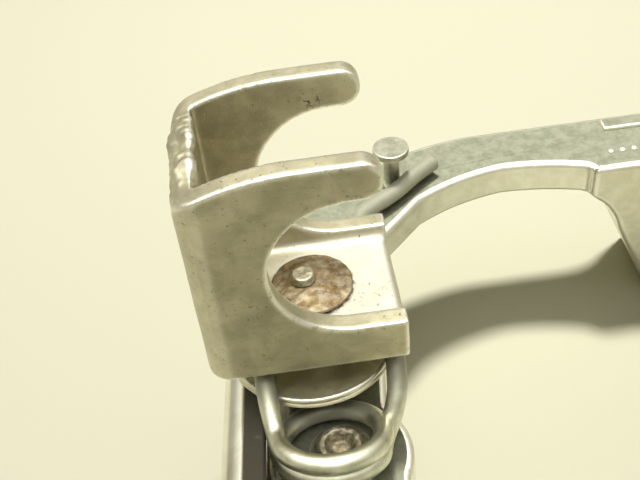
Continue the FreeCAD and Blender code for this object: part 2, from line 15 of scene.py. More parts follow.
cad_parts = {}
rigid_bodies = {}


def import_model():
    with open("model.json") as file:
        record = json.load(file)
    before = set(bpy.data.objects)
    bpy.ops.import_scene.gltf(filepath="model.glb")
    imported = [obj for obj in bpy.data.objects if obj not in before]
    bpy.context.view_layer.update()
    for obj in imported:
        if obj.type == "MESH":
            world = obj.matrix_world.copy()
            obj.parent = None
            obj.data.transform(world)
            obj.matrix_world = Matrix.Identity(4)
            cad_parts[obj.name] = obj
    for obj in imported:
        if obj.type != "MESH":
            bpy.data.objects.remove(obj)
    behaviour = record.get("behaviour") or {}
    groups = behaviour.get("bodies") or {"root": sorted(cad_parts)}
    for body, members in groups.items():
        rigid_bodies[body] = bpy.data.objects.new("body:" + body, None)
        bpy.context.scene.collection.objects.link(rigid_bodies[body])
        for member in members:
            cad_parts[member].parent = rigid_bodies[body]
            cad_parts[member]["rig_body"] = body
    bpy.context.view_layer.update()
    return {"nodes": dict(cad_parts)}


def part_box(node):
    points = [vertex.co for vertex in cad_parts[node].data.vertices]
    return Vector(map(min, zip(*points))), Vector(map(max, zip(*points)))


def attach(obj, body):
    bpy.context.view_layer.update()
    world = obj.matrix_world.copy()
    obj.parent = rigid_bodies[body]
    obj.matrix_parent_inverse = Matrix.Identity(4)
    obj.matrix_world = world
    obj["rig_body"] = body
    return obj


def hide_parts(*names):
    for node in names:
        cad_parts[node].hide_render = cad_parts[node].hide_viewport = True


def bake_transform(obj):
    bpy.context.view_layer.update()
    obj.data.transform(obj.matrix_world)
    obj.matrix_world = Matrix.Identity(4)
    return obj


MM = 0.001
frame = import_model()
nodes = frame["nodes"]

# %% [markdown]
# ## The camera
# A close view from above the handles, looking down past the fork to the arch. A camera's matrix holds its
# right, up and backward directions as columns. Yaw, pitch and roll give those three directions.

# %% The camera
CAMERA_PLACE = Vector((-0.02, -64.06, 90.84)) * MM
CAMERA_YAW, CAMERA_PITCH, CAMERA_ROLL = -0.0312, 0.7393, -0.1174
CAMERA_LENS = 54.2
CAMERA_SENSOR = 36


def camera_directions(yaw, pitch, roll):
    """Right, up and backward for a camera that looks along +Y at yaw 0 and down by pitch."""
    ahead = Vector((-math.sin(yaw) * math.cos(pitch), math.cos(yaw) * math.cos(pitch), -math.sin(pitch)))
    level = Vector((math.cos(yaw), math.sin(yaw), 0))
    above = level.cross(ahead)
    right = level * math.cos(roll) + above * math.sin(roll)
    up = above * math.cos(roll) - level * math.sin(roll)
    return right, up, -ahead


def make_camera():
    data = bpy.data.cameras.new("camera")
    data.lens = CAMERA_LENS
    data.sensor_width = CAMERA_SENSOR
    data.clip_start = 5 * MM
    camera = bpy.data.objects.new("camera", data)
    bpy.context.scene.collection.objects.link(camera)
    right, up, back = camera_directions(CAMERA_YAW, CAMERA_PITCH, CAMERA_ROLL)
    turn = Matrix((right, up, back)).transposed().to_4x4()
    camera.matrix_world = Matrix.Translation(CAMERA_PLACE) @ turn
    bpy.context.scene.camera = camera


make_camera()

# %% [markdown]
# ## Table and light
# Metal shows what is around it. A pale table and a room that is bright overhead and dim at the horizon
# make faces that look up bright, and walls that look sideways dull. One small lamp overhead lights the
# table, so that the arch throws a soft shadow. The metal reflects the room and not the lamp, because a
# small hard reflection would burn out its flat faces. None of the room's light reaches the table by way
# of the metal.

# %% Table and light
TABLE_COLOUR = (0.84, 0.82, 0.62, 1)
SKY_STOPS = [(0.0, (0.40, 0.38, 0.29)), (0.38, (0.48, 0.46, 0.37)), (0.62, (0.94, 0.93, 0.80)),
             (0.80, (1.45, 1.43, 1.27)), (1.0, (6.0, 5.9, 5.4))]
SKY_ON_TABLE = 0.0
LAMP_PLACE = Vector((30, 124, 325)) * MM
LAMP_SIZE = 46 * MM
LAMP_POWER = 1.10
LAMP_COLOUR = (1.0, 0.99, 0.95)
TABLE_SPAN = 1500 * MM
TABLE_ROUGHNESS = 0.7


def make_table():
    form = bmesh.new()
    bmesh.ops.create_grid(form, x_segments=2, y_segments=2, size=TABLE_SPAN / 2)
    mesh = bpy.data.meshes.new("table")
    form.to_mesh(mesh)
    form.free()
    table = bpy.data.objects.new("table", mesh)
    bpy.context.scene.collection.objects.link(table)
    paint = bpy.data.materials.new("table_paint")
    paint.use_nodes = True
    shader = paint.node_tree.nodes["Principled BSDF"]
    shader.inputs["Base Color"].default_value = TABLE_COLOUR
    shader.inputs["Roughness"].default_value = TABLE_ROUGHNESS
    mesh.materials.append(paint)


def make_lamp():
    data = bpy.data.lights.new("ceiling_lamp", "AREA")
    data.shape = "DISK"
    data.size = LAMP_SIZE
    data.energy = LAMP_POWER
    data.color = LAMP_COLOUR
    lamp = bpy.data.objects.new("ceiling_lamp", data)
    lamp.location = LAMP_PLACE
    lamp.rotation_euler = (-LAMP_PLACE).to_track_quat("-Z", "Y").to_euler()
    lamp.visible_glossy = False
    bpy.context.scene.collection.objects.link(lamp)


def make_sky():
    """A room that is bright overhead and dim at the horizon, whose light the table doesn't take."""
    world = bpy.data.worlds.new("room")
    world.use_nodes = True
    tree = world.node_tree
    place = tree.nodes.new("ShaderNodeTexCoord")
    split = tree.nodes.new("ShaderNodeSeparateXYZ")
    ramp = tree.nodes.new("ShaderNodeValToRGB")
    tree.links.new(place.outputs["Generated"], split.inputs[0])
    tree.links.new(split.outputs["Z"], ramp.inputs["Fac"])
    stops = ramp.color_ramp.elements
    while len(stops) < len(SKY_STOPS):
        stops.new(0.5)
    for stop, (position, colour) in zip(stops, SKY_STOPS):
        stop.position = position
        stop.color = (*colour, 1)
    ray = tree.nodes.new("ShaderNodeLightPath")
    strength = tree.nodes.new("ShaderNodeMapRange")
    strength.inputs["To Min"].default_value = 1.0
    strength.inputs["To Max"].default_value = SKY_ON_TABLE
    tree.links.new(ray.outputs["Diffuse Depth"], strength.inputs["Value"])
    back = tree.nodes["Background"]
    tree.links.new(ramp.outputs["Color"], back.inputs["Color"])
    tree.links.new(strength.outputs[0], back.inputs["Strength"])
    bpy.context.scene.world = world


make_table()
make_lamp()
make_sky()
bpy.context.scene.view_settings.view_transform = "Standard"

# %% [markdown]
# ## A kit for aged metal
# A recipe is a chain of nodes. `add` makes one node and fills its sockets from plain values or from other
# nodes' outputs. Patterns read Object coordinates times 1000, so their scales are in features per
# millimetre.

# %% Node helpers


def add(tree, kind, inputs=None, output=0, **settings):
    """A node with its settings and inputs. An input is a value or another node's output."""
    node = tree.nodes.new("ShaderNode" + kind)
    for key, value in settings.items():
        setattr(node, key, value)
    for key, value in (inputs or {}).items():
        if isinstance(value, bpy.types.NodeSocket):
            tree.links.new(value, node.inputs[key])
        else:
            node.inputs[key].default_value = value
    return node.outputs[output]


def millimetres(tree):
    """The point on the surface, in millimetres in the frame."""
    place = add(tree, "TexCoord", output="Object")
    return add(tree, "VectorMath", {0: place, "Scale": 1000.0}, operation="SCALE")


def cloud(tree, place, scale, detail=3.0, rough=0.55, warp=0.0):
    """Smooth noise from 0 to 1, with that many features in each millimetre."""
    return add(tree, "TexNoise", {"Vector": place, "Scale": scale, "Detail": detail, "Roughness": rough,
                                  "Distortion": warp})


def step(tree, value, low, high):
    """0 below low and 1 above high, with a soft edge between them."""
    ends = {"Value": value, "From Min": low, "From Max": high}
    return add(tree, "MapRange", ends, interpolation_type="SMOOTHSTEP")


def times(tree, first, second):
    return add(tree, "Math", {0: first, 1: second}, operation="MULTIPLY")


def plus(tree, first, second):
    return add(tree, "Math", {0: first, 1: second}, operation="ADD")


def larger(tree, first, second):
    return add(tree, "Math", {0: first, 1: second}, operation="MAXIMUM")


def stretched(tree, place, scale):
    """The point with its X, Y and Z multiplied, which stretches a pattern."""
    return add(tree, "VectorMath", {0: place, 1: scale}, operation="MULTIPLY")


def along(tree, place, direction):
    """How far the point lies along a direction."""
    return add(tree, "VectorMath", {0: place, 1: direction}, output="Value", operation="DOT_PRODUCT")


def span(tree, value, low, high):
    """Stretch 0 to 1 onto low to high."""
    return add(tree, "MapRange", {"Value": value, "To Min": low, "To Max": high})


def tint(tree, share, first, second):
    """The first colour at share 0 and the second at share 1. Either may be another node's output."""
    node = tree.nodes.new("ShaderNodeMix")
    node.data_type = "RGBA"
    for socket, value in ((node.inputs[0], share), (node.inputs[6], first), (node.inputs[7], second)):
        if isinstance(value, bpy.types.NodeSocket):
            tree.links.new(value, socket)
        else:
            socket.default_value = value if isinstance(value, float) else (*value[:3], 1)
    return node.outputs[2]


def near_point(tree, place, point, reach, soft):
    """1 within reach of a point, falling to 0 over soft, in millimetres."""
    apart = add(tree, "VectorMath", {0: place, 1: point}, output="Value", operation="DISTANCE")
    return step(tree, apart, reach + soft, reach - soft)


def near_axis(tree, place, centre, reach, soft):
    """1 within reach of an upright axis, falling to 0 over soft, in millimetres."""
    return near_point(tree, stretched(tree, place, (1, 1, 0)), (centre[0], centre[1], 0), reach, soft)


# %% [markdown]
# ## One recipe for every metal
# Old plated steel has a cloudy sheen, dark pin-prick specks where the plating has gone, a little rust in
# patches, fine rubbing marks, and bright metal along edges that hands and work have polished. Each finish
# below is that one recipe with its own colours and amounts.

# %% The metal recipe
RUST = (0.20, 0.085, 0.03)
SOOT = (0.035, 0.028, 0.018)
BRIGHT = (0.90, 0.88, 0.80)
CLOUD_EDGE, RUB_EDGE, WORN_EDGE, PATCH_EDGE = (0.33, 0.68), (0.35, 0.75), (0.30, 0.46), (0.38, 0.62)
SPECK_START, SPECK_SPREAD, SPECK_SOFT = 0.69, 0.10, 0.08
RUST_START, RUST_SPREAD, RUST_SOFT = 0.70, 0.22, 0.12
SPECK_SCALE, PATCH_SCALE, RUST_SCALE, WORN_SCALE = 2.6, 0.22, 0.75, 1.1
COVER = 0.85
# How far the painted light on the fork's floor goes towards BRIGHT.
PAINTED_LIGHT_COVER = 0.6
# Dirt, rust and painted shade make a surface less metallic and rougher.
DIRT_AND_SHADE_METALLIC = 0.15
DIRT_AND_SHADE_ROUGHNESS = 0.75


def metal(name, colour, shade, rough, cloud_scale=0.35, speck=0.0, rust=0.0, rub=(1, 1, 1), rub_amount=0.15,
          worn=1.0, grain=8.0, relief=0.02, stains_and_shade=(), painted_light=None, metallic=1.0):
    """A finished metal, in two shades of cloud.

    rough is its lowest and highest roughness, relief is its bump in millimetres, the masks add dirt and
    painted shade, and the painted light paints one place lighter, as a painted highlight.
    """
    material = bpy.data.materials.new(name)
    material.use_nodes = True
    tree = material.node_tree
    shader = tree.nodes["Principled BSDF"]
    place = millimetres(tree)
    clouds = cloud(tree, place, cloud_scale, 5.0, 0.6, 0.4)
    fine = cloud(tree, place, grain, 3.0, 0.6)
    rubbed = cloud(tree, stretched(tree, place, rub), 1.0, 4.0, 0.7)
    base = tint(tree, step(tree, clouds, *CLOUD_EDGE), shade, colour)
    base = tint(tree, times(tree, step(tree, rubbed, *RUB_EDGE), rub_amount * 2), base, BRIGHT)
    # Painted light: one place is painted lighter, towards BRIGHT, as a painted highlight.
    if painted_light:
        base = tint(tree, times(tree, painted_light(tree, place), PAINTED_LIGHT_COVER), base, BRIGHT)
    edge = add(tree, "Attribute", attribute_name="worn", output="Fac")
    broken = times(tree, edge, step(tree, cloud(tree, place, WORN_SCALE, 4.0, 0.7), *WORN_EDGE))
    base = tint(tree, times(tree, broken, COVER * worn), base, BRIGHT)
    height = plus(tree, times(tree, fine, 0.5), times(tree, clouds, 0.8))
    if speck:
        start = SPECK_START - SPECK_SPREAD * speck
        dots = step(tree, cloud(tree, place, SPECK_SCALE, 6.0, 0.72), start, start + SPECK_SOFT)
        patch = step(tree, cloud(tree, place, PATCH_SCALE, 3.0), *PATCH_EDGE)
        pits = times(tree, dots, span(tree, patch, 0.25, 1.0))
        base = tint(tree, times(tree, pits, COVER), base, SOOT)
        height = plus(tree, height, times(tree, pits, -0.8))
    dull = None
    if rust:
        start = RUST_START - RUST_SPREAD * rust
        dull = step(tree, cloud(tree, place, RUST_SCALE, 6.0, 0.7, 0.6), start, start + RUST_SOFT)
        base = tint(tree, dull, base, RUST)
    # Each mask lays its colour, dirt on some finishes and painted shade on others, and makes the surface
    # duller.
    for overlay in stains_and_shade:
        mask, overlay_colour = overlay(tree, place)
        base = tint(tree, mask, base, overlay_colour)
        dull = mask if dull is None else larger(tree, dull, mask)
    roughness = plus(tree, span(tree, clouds, *rough), times(tree, fine, 0.12))
    roughness = plus(tree, roughness, times(tree, broken, -0.12))
    if dull is None:
        shader.inputs["Metallic"].default_value = metallic
    else:
        roughness = larger(tree, roughness, times(tree, dull, DIRT_AND_SHADE_ROUGHNESS))
        tree.links.new(span(tree, dull, metallic, DIRT_AND_SHADE_METALLIC), shader.inputs["Metallic"])
    bump = add(tree, "Bump", {"Height": height, "Strength": 1.0, "Distance": relief * MM})
    tree.links.new(bump, shader.inputs["Normal"])
    tree.links.new(base, shader.inputs["Base Color"])
    tree.links.new(roughness, shader.inputs["Roughness"])
    return material


# %% [markdown]
# ## Where dirt, painted shade and painted light go
# Each of these is a mask from 0 to 1 and a colour. It could be painted by hand, but a mask worked out from
# the frame's own places stays right when a part changes size: rust round a washer, painted shade inside a
# channel, painted light on a floor.

# %% Places on the parts
def box_of(node):
    """The lowest and highest corners of a CAD node, in millimetres."""
    low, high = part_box(node)
    return low / MM, high / MM


def middle(node):
    low, high = box_of(node)
    return (low + high) / 2


def node_width(node):
    low, high = box_of(node)
    return high.x - low.x


fork_low, fork_high = box_of("fork_jaw")
lever_low = box_of("lever")[0]
FLOOR_HEIGHT = 3.4
fork_floor = fork_low.z + FLOOR_HEIGHT
FLOOR_HALF = 5.9
WALL_SLOPE = -0.075
LEVER_SHEET = 1.8
wall_inner = lever_low.x + WALL_SLOPE * lever_low.y + LEVER_SHEET
LEG_START = -8.6
print("fork floor at", round(fork_floor, 2), "and lever wall at", round(wall_inner, 2))


# %% Dirt, painted shade and painted light
def washer_dirt(tree, place):
    """A thin broken ring of rust that has crept from under the washer."""
    ring = near_axis(tree, place, middle("fork_washer"), node_width("fork_washer") / 2 + 0.1, 0.3)
    patchy = step(tree, cloud(tree, place, 1.3, 5.0, 0.7), 0.44, 0.60)
    return times(tree, ring, patchy), (0.16, 0.10, 0.05)


def rivet_dirt(tree, place):
    """Black grease round the pivot's head."""
    near = near_axis(tree, place, middle("pivot_rivet"), node_width("pivot_rivet") / 2 - 0.2, 1.1)
    patchy = step(tree, cloud(tree, place, 1.1, 5.0, 0.7), 0.32, 0.52)
    return times(tree, near, patchy), (0.06, 0.045, 0.025)


def cheek_scrape(tree, place):
    """A dark scrape in the plating, inside the far cheek's horn."""
    point, reach = (2.6, 5.5, fork_high.z - 2.4), 0.9
    marks = step(tree, cloud(tree, place, 1.7, 6.0, 0.75, 1.5), 0.50, 0.58)
    return times(tree, near_point(tree, place, point, reach, reach * 0.6), marks), (0.05, 0.035, 0.03)


def painted_top_shade(tree, place):
    """A matte finish on flat faces that look up, with a blotchy darker grey painted on them as painted
    shade, while the sides keep the bright metal.
    """
    upward = add(tree, "Attribute", attribute_name="upward", output="Fac")
    blotch = step(tree, cloud(tree, place, 0.9, 5.0, 0.65), 0.30, 0.70)
    return times(tree, upward, 0.96), tint(tree, blotch, (0.32, 0.34, 0.235), (0.50, 0.51, 0.37))


def channel_shade(tree, place):
    """Painted shade inside the lever's channel, whose wall leans outwards towards the handle's end: a patchy
    dark brown.
    """
    inside = step(tree, along(tree, place, (1, WALL_SLOPE, 0)), wall_inner + 0.25, wall_inner + 0.6)
    patchy = step(tree, cloud(tree, place, 0.25, 4.0, 0.6), 0.0, 0.36)
    return times(tree, times(tree, inside, 0.9), patchy), (0.085, 0.07, 0.04)


def shaded_legs(tree, place):
    """Painted shade: the spring's legs, beyond the coil, are painted darker and made duller."""
    beyond = step(tree, along(tree, place, (0, 1, 0)), LEG_START - 1.2, LEG_START + 1.2)
    return times(tree, beyond, 0.75), (0.42, 0.415, 0.31)


def painted_floor_light(tree, place):
    """Painted light: the fork's floor between its cheeks is painted lighter, as a painted highlight."""
    height = along(tree, place, (0, 0, 1))
    above = step(tree, height, fork_floor - 0.5, fork_floor - 0.1)
    below = step(tree, height, fork_floor + 1.0, fork_floor + 0.3)
    sideways = add(tree, "Math", {0: along(tree, place, (0, 1, 0))}, operation="ABSOLUTE")
    return times(tree, times(tree, above, below), step(tree, sideways, FLOOR_HALF + 0.4, FLOOR_HALF - 0.4))


# %% [markdown]
# ## The finishes
# Each finish belongs to one kind of part: dull plating on the fork, bright nickel on the lever, a casting
# whose faces that look up are matte and painted a darker grey as painted shade, rusty rivets, and turned and
# drawn steel.

# %% Finishes
# The fork's floor is painted lighter, as a painted highlight.
fork_plating = metal("fork_plating", (0.58, 0.54, 0.385), (0.42, 0.385, 0.265), (0.36, 0.50), 0.30,
                     speck=0.9, rust=0.15, rub=(0.5, 3.0, 2.0), rub_amount=0.05, relief=0.035,
                     painted_light=painted_floor_light, stains_and_shade=(washer_dirt, cheek_scrape))
# The lever's channel is painted dark, as painted shade.
lever_nickel = metal("lever_nickel", (0.88, 0.86, 0.76), (0.70, 0.67, 0.56), (0.08, 0.22), 0.20,
                     speck=0.4, rub=(3.0, 0.18, 1.6), rub_amount=0.22, relief=0.008, stains_and_shade=(channel_shade,))
# The casting's faces that look up are painted darker, as painted shade.
bow_casting = metal("bow_casting", (0.95, 0.94, 0.84), (0.84, 0.83, 0.70), (0.36, 0.50), 0.55,
                    speck=0.35, rub=(0.8, 0.8, 0.8), rub_amount=0.10, grain=4.0, relief=0.06,
                    stains_and_shade=(painted_top_shade,))
rivet_steel = metal("rivet_steel", (0.40, 0.345, 0.22), (0.07, 0.055, 0.03), (0.35, 0.6), 0.7,
                    speck=1.0, rust=0.45, relief=0.10, worn=0.5)
nub_steel = metal("nub_steel", (0.52, 0.49, 0.35), (0.32, 0.27, 0.17), (0.30, 0.45), 1.2,
                  speck=0.5, rust=0.25, relief=0.06, worn=0.5)
washer_rust = metal("washer_rust", (0.31, 0.235, 0.115), (0.165, 0.105, 0.045), (0.34, 0.50), 0.7,
                    speck=0.4, rust=0.45, relief=0.03, worn=0.35)
# The spring's legs are painted darker, as painted shade.
wire_steel = metal("wire_steel", (0.78, 0.78, 0.64), (0.58, 0.58, 0.45), (0.22, 0.36), 0.5,
                   speck=0.3, rub_amount=0.10, relief=0.015, grain=10.0, stains_and_shade=(shaded_legs,))
pin_steel = metal("pin_steel", (0.50, 0.50, 0.40), (0.34, 0.33, 0.25), (0.26, 0.42), 0.6, speck=0.4)
collar_steel = metal("collar_steel", (0.50, 0.48, 0.34), (0.30, 0.27, 0.17), (0.30, 0.45), 0.6,
                     speck=0.7, relief=0.04, stains_and_shade=(rivet_dirt,))
plate_steel = metal("plate_steel", (0.50, 0.49, 0.43), (0.38, 0.37, 0.31), (0.30, 0.45), 0.5, speck=0.3)
disc_steel = metal("disc_steel", (0.95, 0.90, 0.62), (0.74, 0.67, 0.43), (0.26, 0.42), 0.5,
                   speck=0.7, rust=0.2, relief=0.03, metallic=0.7)
print("finishes", len(bpy.data.materials))

# %% [markdown]
# ## Worn edges
# Real edges are never perfectly sharp: they catch the light as a thin bright line. Each CAD node is
# copied, its triangles are joined into whole faces again, and a Bevel rounds its edges. The faces that
# the bevel makes get the value 1 in an attribute called worn, which the metal recipe polishes.

# %% Worn copies
SHARP = math.radians(32)
BEVEL_SEGMENTS = 3
WELD = 0.002 * MM
FLAT_ANGLE = math.radians(0.6)
LOOKS_UP = 0.95


def finished_mesh(item):
    """The object's mesh with its modifiers applied."""
    graph = bpy.context.evaluated_depsgraph_get()
    mesh = bpy.data.meshes.new_from_object(item.evaluated_get(graph), depsgraph=graph)
    item.modifiers.clear()
    item.data = mesh
    return mesh


def show(item):
    """Put a new object in the scene."""
    bpy.context.scene.collection.objects.link(item)
    return item


def mark_worn(mesh):
    """Turn the bevel's own material slot, 1, into the worn attribute, and mark flat faces that look up,
    which the casting's painted shade uses.
    """
    worn = mesh.attributes.new("worn", "FLOAT", "CORNER")
    upward = mesh.attributes.new("upward", "FLOAT", "CORNER")
    for face in mesh.polygons:
        edge = face.material_index == 1
        for corner in face.loop_indices:
            worn.data[corner].value = float(edge)
            upward.data[corner].value = float(face.normal.z > LOOKS_UP and not edge)
        face.material_index = 0
    mesh.materials.pop(index=1)


def stand_for(item, node):
    """The piece moves with the node's body and hides the node."""
    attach(item, nodes[node]["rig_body"])
    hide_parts(node)
    print(item.name, len(item.data.polygons), "faces")


def joined_copy(node):
    """A copy of a CAD node's mesh with its triangles joined into flat faces."""
    form = bmesh.new()
    form.from_mesh(nodes[node].data)
    bmesh.ops.remove_doubles(form, verts=form.verts, dist=WELD)
    bmesh.ops.dissolve_limit(form, angle_limit=FLAT_ANGLE, verts=form.verts, edges=form.edges)
    mesh = bpy.data.meshes.new(node + "_worn")
    form.to_mesh(mesh)
    form.free()
    return mesh


def rounded(item, width, finish, segments=BEVEL_SEGMENTS):
    """Bevel an object's edges and mark the faces that the bevel makes."""
    item.data.materials.clear()
    item.data.materials.append(finish)
    item.data.materials.append(finish)
    bevel = item.modifiers.new("edges", "BEVEL")
    bevel.width = width * MM
    bevel.segments = segments
    bevel.limit_method = "ANGLE"
    bevel.angle_limit = SHARP
    bevel.use_clamp_overlap = False
    bevel.material = 1
    bevel.miter_outer = "MITER_ARC"
    item.data.shade_smooth()
    even = item.modifiers.new("even", "WEIGHTED_NORMAL")
    even.keep_sharp = True
    mark_worn(finished_mesh(item))


def worn_copy(node, finish, width):
    """A copy of a CAD node with rounded, polished edges, which stands for that node."""
    item = show(bpy.data.objects.new(node + "_worn", joined_copy(node)))
    rounded(item, width, finish)
    stand_for(item, node)


worn_copy("lever", lever_nickel, 0.25)
worn_copy("bow_arm", bow_casting, 0.75)
worn_copy("fork_bush", pin_steel, 0.1)
worn_copy("tail_washer", pin_steel, 0.08)
worn_copy("pivot_washer", pin_steel, 0.08)
worn_copy("head_washer", collar_steel, 0.12)
worn_copy("spring_stud", pin_steel, 0.14)
worn_copy("stop_pin", pin_steel, 0.14)
worn_copy("jaw_plate", plate_steel, 0.2)
worn_copy("jaw_screws", pin_steel, 0.1)

# %% [markdown]
# ## Hand-worn pieces
# The fork is the oldest-looking piece: its edges are rubbed round and its faces are not quite flat. A
# voxel remesh turns the clean solid into an even skin of small faces. Smoothing rounds every edge a
# little, and how far a point moved inwards says how sharp the edge was, which is the worn attribute. Slow
# noise then dents it.

# %% Hand-worn copies
DENT_ROUGH, DENT_FINER, DENT_LAYERS = 0.8, 2.0, 3


def even_skin(node, voxel):
    """A voxel remesh of a CAD node."""
    item = show(bpy.data.objects.new(node + "_skin", joined_copy(node)))
    remesh = item.modifiers.new("skin", "REMESH")
    remesh.mode = "VOXEL"
    remesh.voxel_size = voxel * MM
    remesh.adaptivity = 0
    finished_mesh(item)
    return item


def rubbed_down(form, rounds):
    """Smooth the skin, and give how far each point went inwards."""
    form.normal_update()
    before = [(vert.co.copy(), vert.normal.copy()) for vert in form.verts]
    for _ in range(rounds):
        bmesh.ops.smooth_vert(form, verts=form.verts, factor=0.5, use_axis_x=True, use_axis_y=True,
                              use_axis_z=True)
    return [(place - vert.co).dot(normal) for (place, normal), vert in zip(before, form.verts)]


def hand_worn(node, finish, voxel, rounds=6, dent=0.03, dent_size=3.0, reach=0.05, extra=None):
    """An even skin with rubbed edges and slow dents, which stands for that node.

    dent is the dents' height and dent_size their width. A point that moved inwards by reach is fully worn.
    extra gives a height of its own at a point.
    """
    item = even_skin(node, voxel)
    mesh = item.data
    form = bmesh.new()
    form.from_mesh(mesh)
    moved = rubbed_down(form, rounds)
    form.normal_update()
    for vert in form.verts:
        point = vert.co / MM
        height = dent * noise.fractal(point / dent_size, DENT_ROUGH, DENT_FINER, DENT_LAYERS)
        if extra:
            height += extra(point)
        vert.co += vert.normal * height * MM
    form.to_mesh(mesh)
    form.free()
    worn = mesh.attributes.new("worn", "FLOAT", "POINT")
    worn.data.foreach_set("value", [min(max(amount / (reach * MM), 0.0), 1.0) for amount in moved])
    mesh.materials.clear()
    mesh.materials.append(finish)
    mesh.shade_smooth()
    item.name = node + "_worn"
    stand_for(item, node)


# %% [markdown]
# ## A broken tab and a hammered nub
# The back plate once had a tab along its top edge, which has snapped off and left a lumpy scar. The
# rivet's nub was hammered flat. Both are extra heights for the hand-worn skin. The rivet's shank stays
# smooth, because the fork turns on it.

# %% The fork and the hammered pieces
BACK_HEIGHT = 20.2
BACK_SHEET = 2.0
TAB_HALF = 5.0
TAB_END = 0.6
TAB_DEPTH = 1.6
TAB_FADE = 1.2
TAB_HEIGHT = 0.40
TAB_LUMP = 2.2
TAB_SHIFT = Vector((3.1, 7.7, 1.3))
NUB_LUMP = 0.8
NUB_HEIGHT = 0.07
NUB_FADE = 0.2
scar_low = fork_low.z + BACK_HEIGHT - TAB_DEPTH
washer_top = box_of("fork_washer")[1].z


def share(value, full):
    """A value's share of its full amount, kept between 0 and 1."""
    return min(max(value / full, 0.0), 1.0)


def broken_tab(point):
    """The lumpy scar along the back plate's top edge, where a tab was broken off."""
    if point.x > fork_low.x + BACK_SHEET or point.z < scar_low or abs(point.y) > TAB_HALF:
        return 0.0
    place = share(TAB_HALF - abs(point.y), TAB_END) * share(point.z - scar_low, TAB_FADE)
    lumps = 0.5 + 1.1 * noise.fractal(point / TAB_LUMP + TAB_SHIFT, 1.0, 2.1, 3)
    return TAB_HEIGHT * place * max(lumps, -0.35)


def hammered_nub(point):
    """Hammer marks above the washer only."""
    lumps = noise.fractal(point / NUB_LUMP, DENT_ROUGH, DENT_FINER, DENT_LAYERS)
    return share(point.z - washer_top, NUB_FADE) * NUB_HEIGHT * lumps


hand_worn("fork_jaw", fork_plating, 0.16, rounds=7, reach=0.03, extra=broken_tab)
hand_worn("fork_washer", washer_rust, 0.07, rounds=4, dent=0.05, dent_size=1.2, reach=0.03)
hand_worn("fork_rivet", nub_steel, 0.08, rounds=3, dent=0.0, reach=0.03, extra=hammered_nub)
hand_worn("pivot_rivet", rivet_steel, 0.10, rounds=5, dent=0.10, dent_size=0.9, reach=0.04)

# %% [markdown]
# ## The guard disc
# The disc was turned, so its edge has two beads with a groove between them. A turned piece is a profile
# swept round an axis: each profile point becomes a ring, and neighbouring rings are joined by faces.

# %% The guard disc
DISC_STEPS = 120
DISC_CREASE = math.radians(60)
DISC_DISH = 0.2
# How far in from the rim, how high above the underside, and how polished.
DISC_RIM = [(0.70, 0.00, 0.0), (0.20, 0.06, 0.0), (0.02, 0.20, 0.6), (0.08, 0.40, 0.2), (0.36, 0.50, 0.0),
            (0.12, 0.64, 0.0), (0.00, 0.86, 0.3), (0.05, 1.08, 0.8), (0.22, 1.20, 1.0), (0.42, 1.17, 0.6),
            (0.75, 1.00, 0.0), (2.20, 0.96, 0.0)]


def turned(name, profile, centre):
    """Sweep a closed profile of (radius, height, worn) points round an upright axis."""
    form = bmesh.new()
    worn = form.verts.layers.float.new("worn")
    rings = []
    for radius, height, edge in profile:
        ring = []
        for index in range(DISC_STEPS):
            angle = math.tau * index / DISC_STEPS
            outward = Vector((math.cos(angle), math.sin(angle), 0)) * radius
            vert = form.verts.new(Vector((centre.x, centre.y, height)) * MM + outward * MM)
            vert[worn] = edge
            ring.append(vert)
        rings.append(ring)
    for inner, outer in zip(rings, rings[1:] + rings[:1]):
        for index in range(DISC_STEPS):
            following = (index + 1) % DISC_STEPS
            form.faces.new((inner[index], inner[following], outer[following], outer[index]))
    bmesh.ops.recalc_face_normals(form, faces=form.faces)
    mesh = bpy.data.meshes.new(name)
    form.to_mesh(mesh)
    form.free()
    return show(bpy.data.objects.new(name, mesh))


def make_disc():
    low, high = box_of("guard_disc")
    rim = (high.x - low.x) / 2
    bore = node_width("fork_rivet") / 3
    profile = [(rim - inset, low.z + height, edge) for inset, height, edge in DISC_RIM]
    profile = [(bore, low.z, 0), *profile, (bore, high.z - DISC_DISH, 0)]
    disc = turned("guard_disc_turned", profile, middle("guard_disc"))
    disc.data.materials.append(disc_steel)
    disc.data.shade_smooth()
    disc.data.set_sharp_from_angle(angle=DISC_CREASE)
    stand_for(disc, "guard_disc")


make_disc()

# %% [markdown]
# ## A kit for Geometry Nodes
# What repeats is a job for Geometry Nodes: points, a small shape on each, then Realize Instances, because
# an export keeps only real faces. A tree has named inputs, so that one tree can make many sizes.

# %% Geometry Nodes helpers
MARK_CREASE = math.radians(40)
MARK_WORN = 0.5


def node_group(name, inputs):
    """A new geometry tree with named inputs. Gives the tree, its inputs' sockets and its output node."""
    tree = bpy.data.node_groups.new(name, "GeometryNodeTree")
    for label, kind in inputs:
        tree.interface.new_socket(label, in_out="INPUT", socket_type="NodeSocket" + kind)
    tree.interface.new_socket("Geometry", in_out="OUTPUT", socket_type="NodeSocketGeometry")
    return tree, tree.nodes.new("NodeGroupInput").outputs, tree.nodes.new("NodeGroupOutput")


def geo(tree, kind, inputs=None, output=0, **settings):
    """A node's output. Its inputs are named by their labels or numbers, and are values or other outputs."""
    node = tree.nodes.new(kind)
    for key, value in settings.items():
        setattr(node, key, value)
    for key, value in (inputs or {}).items():
        if isinstance(value, bpy.types.NodeSocket):
            tree.links.new(value, node.inputs[key])
        else:
            node.inputs[key].default_value = value
    return node.outputs[output]


